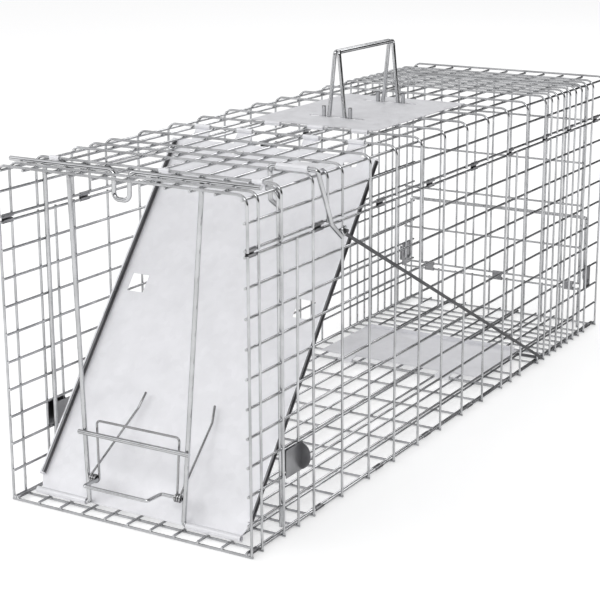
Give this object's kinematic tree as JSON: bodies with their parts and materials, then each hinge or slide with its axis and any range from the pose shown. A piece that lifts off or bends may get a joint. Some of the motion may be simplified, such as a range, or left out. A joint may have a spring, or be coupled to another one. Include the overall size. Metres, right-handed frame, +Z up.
{
  "type": "live catch trap",
  "caption": "Collapsible wire-mesh live catch trap with a sloping sheet door, lock bail, trip pan, trigger rod and carrying handle.",
  "frame": {"origin": "middle of the whole trap's footprint, at the underside of the floor wires", "axes": "+X to the right as seen from the door end, +Y from the door end to the rear, +Z up"},
  "size_m": [0.2739, 0.7851, 0.3718],
  "materials": {
    "mesh_wire": "galvanised, bright",
    "heavy_wire": "galvanised, bright",
    "sheet_steel": "galvanised sheet, satin",
    "strap_steel": "galvanised strap, satin",
    "spring_steel": "spring wire, satin",
    "rod_steel": "plated rod, satin"
  },
  "bodies": {
    "cage": {"floor_panel": "mesh_wire", "left_side_panel": "mesh_wire", "right_side_panel": "mesh_wire", "roof_panel": "mesh_wire", "door_hinge_wire": "mesh_wire", "pan_hinge_wire": "mesh_wire", "front_brace_frame": "heavy_wire", "brace_sleeves": "sheet_steel", "left_roof_clips": "strap_steel", "right_roof_clips": "strap_steel", "left_floor_clips": "strap_steel", "right_floor_clips": "strap_steel", "left_door_stop": "strap_steel", "right_door_stop": "strap_steel", "guard_plate": "sheet_steel", "handle_left_wire": "heavy_wire", "handle_right_wire": "heavy_wire", "trigger_bracket": "sheet_steel", "rear_lower_strip": "mesh_wire", "left_rear_bracket": "strap_steel", "right_rear_bracket": "strap_steel"},
    "door": {"door_plate": "sheet_steel"},
    "lock_bail": {"bail_frame": "heavy_wire", "bail_top_bar": "heavy_wire", "spring_bar": "heavy_wire", "door_spring": "spring_steel"},
    "trigger_arm": {"trigger_arm": "heavy_wire"},
    "trigger_rod": {"trigger_rod": "rod_steel"},
    "trip_pan": {"trip_pan": "sheet_steel"},
    "rear_panel": {"rear_panel": "mesh_wire", "rear_hinge_sleeves": "strap_steel"},
    "rear_lock_bail": {"rear_lock_bail": "heavy_wire"}
  },
  "joints": [
    {"name": "door_swing", "type": "hinge", "parent": "cage", "child": "door", "pos_m": [-0.001, -0.1335, 0.30365], "axis": [-1, 0, 0], "range_deg": [0, 34]},
    {"name": "bail_swing", "type": "hinge", "parent": "door", "child": "lock_bail", "pos_m": [-0.001, -0.3705, 0.00918], "axis": [-1, 0, 0], "range_deg": [0, 15.6], "deforming": ["door_spring"]},
    {"name": "trigger_arm_turn", "type": "hinge", "parent": "cage", "child": "trigger_arm", "pos_m": [0.109, -0.288, 0.3082], "axis": [-1, 0, 0], "range_deg": [0, 9.5]},
    {"name": "trigger_rod_turn", "type": "hinge", "parent": "trigger_arm", "child": "trigger_rod", "pos_m": [0.1326, -0.244, 0.249], "axis": [1, 0, 0], "range_deg": [0, 12.46]},
    {"name": "pan_tilt", "type": "hinge", "parent": "cage", "child": "trip_pan", "pos_m": [-0.001, 0.1045, 0.00579], "axis": [1, 0, 0], "range_deg": [0, 8.13]},
    {"name": "rear_panel_fold", "type": "hinge", "parent": "cage", "child": "rear_panel", "pos_m": [-0.001, 0.3555, 0.053], "axis": [1, 0, 0], "range_deg": [0, 88]},
    {"name": "rear_lock_swing", "type": "hinge", "parent": "cage", "child": "rear_lock_bail", "pos_m": [-0.001, 0.3735, 0.06], "axis": [-1, 0, 0], "range_deg": [0, 92]}
  ],
  "couplings": [
    {"joint": "bail_swing", "follows": "door_swing", "ratio": 0.455},
    {"joint": "trigger_rod_turn", "follows": "trigger_arm_turn", "ratio": 1.29},
    {"joint": "pan_tilt", "follows": "trigger_arm_turn", "ratio": 0.845}
  ]
}
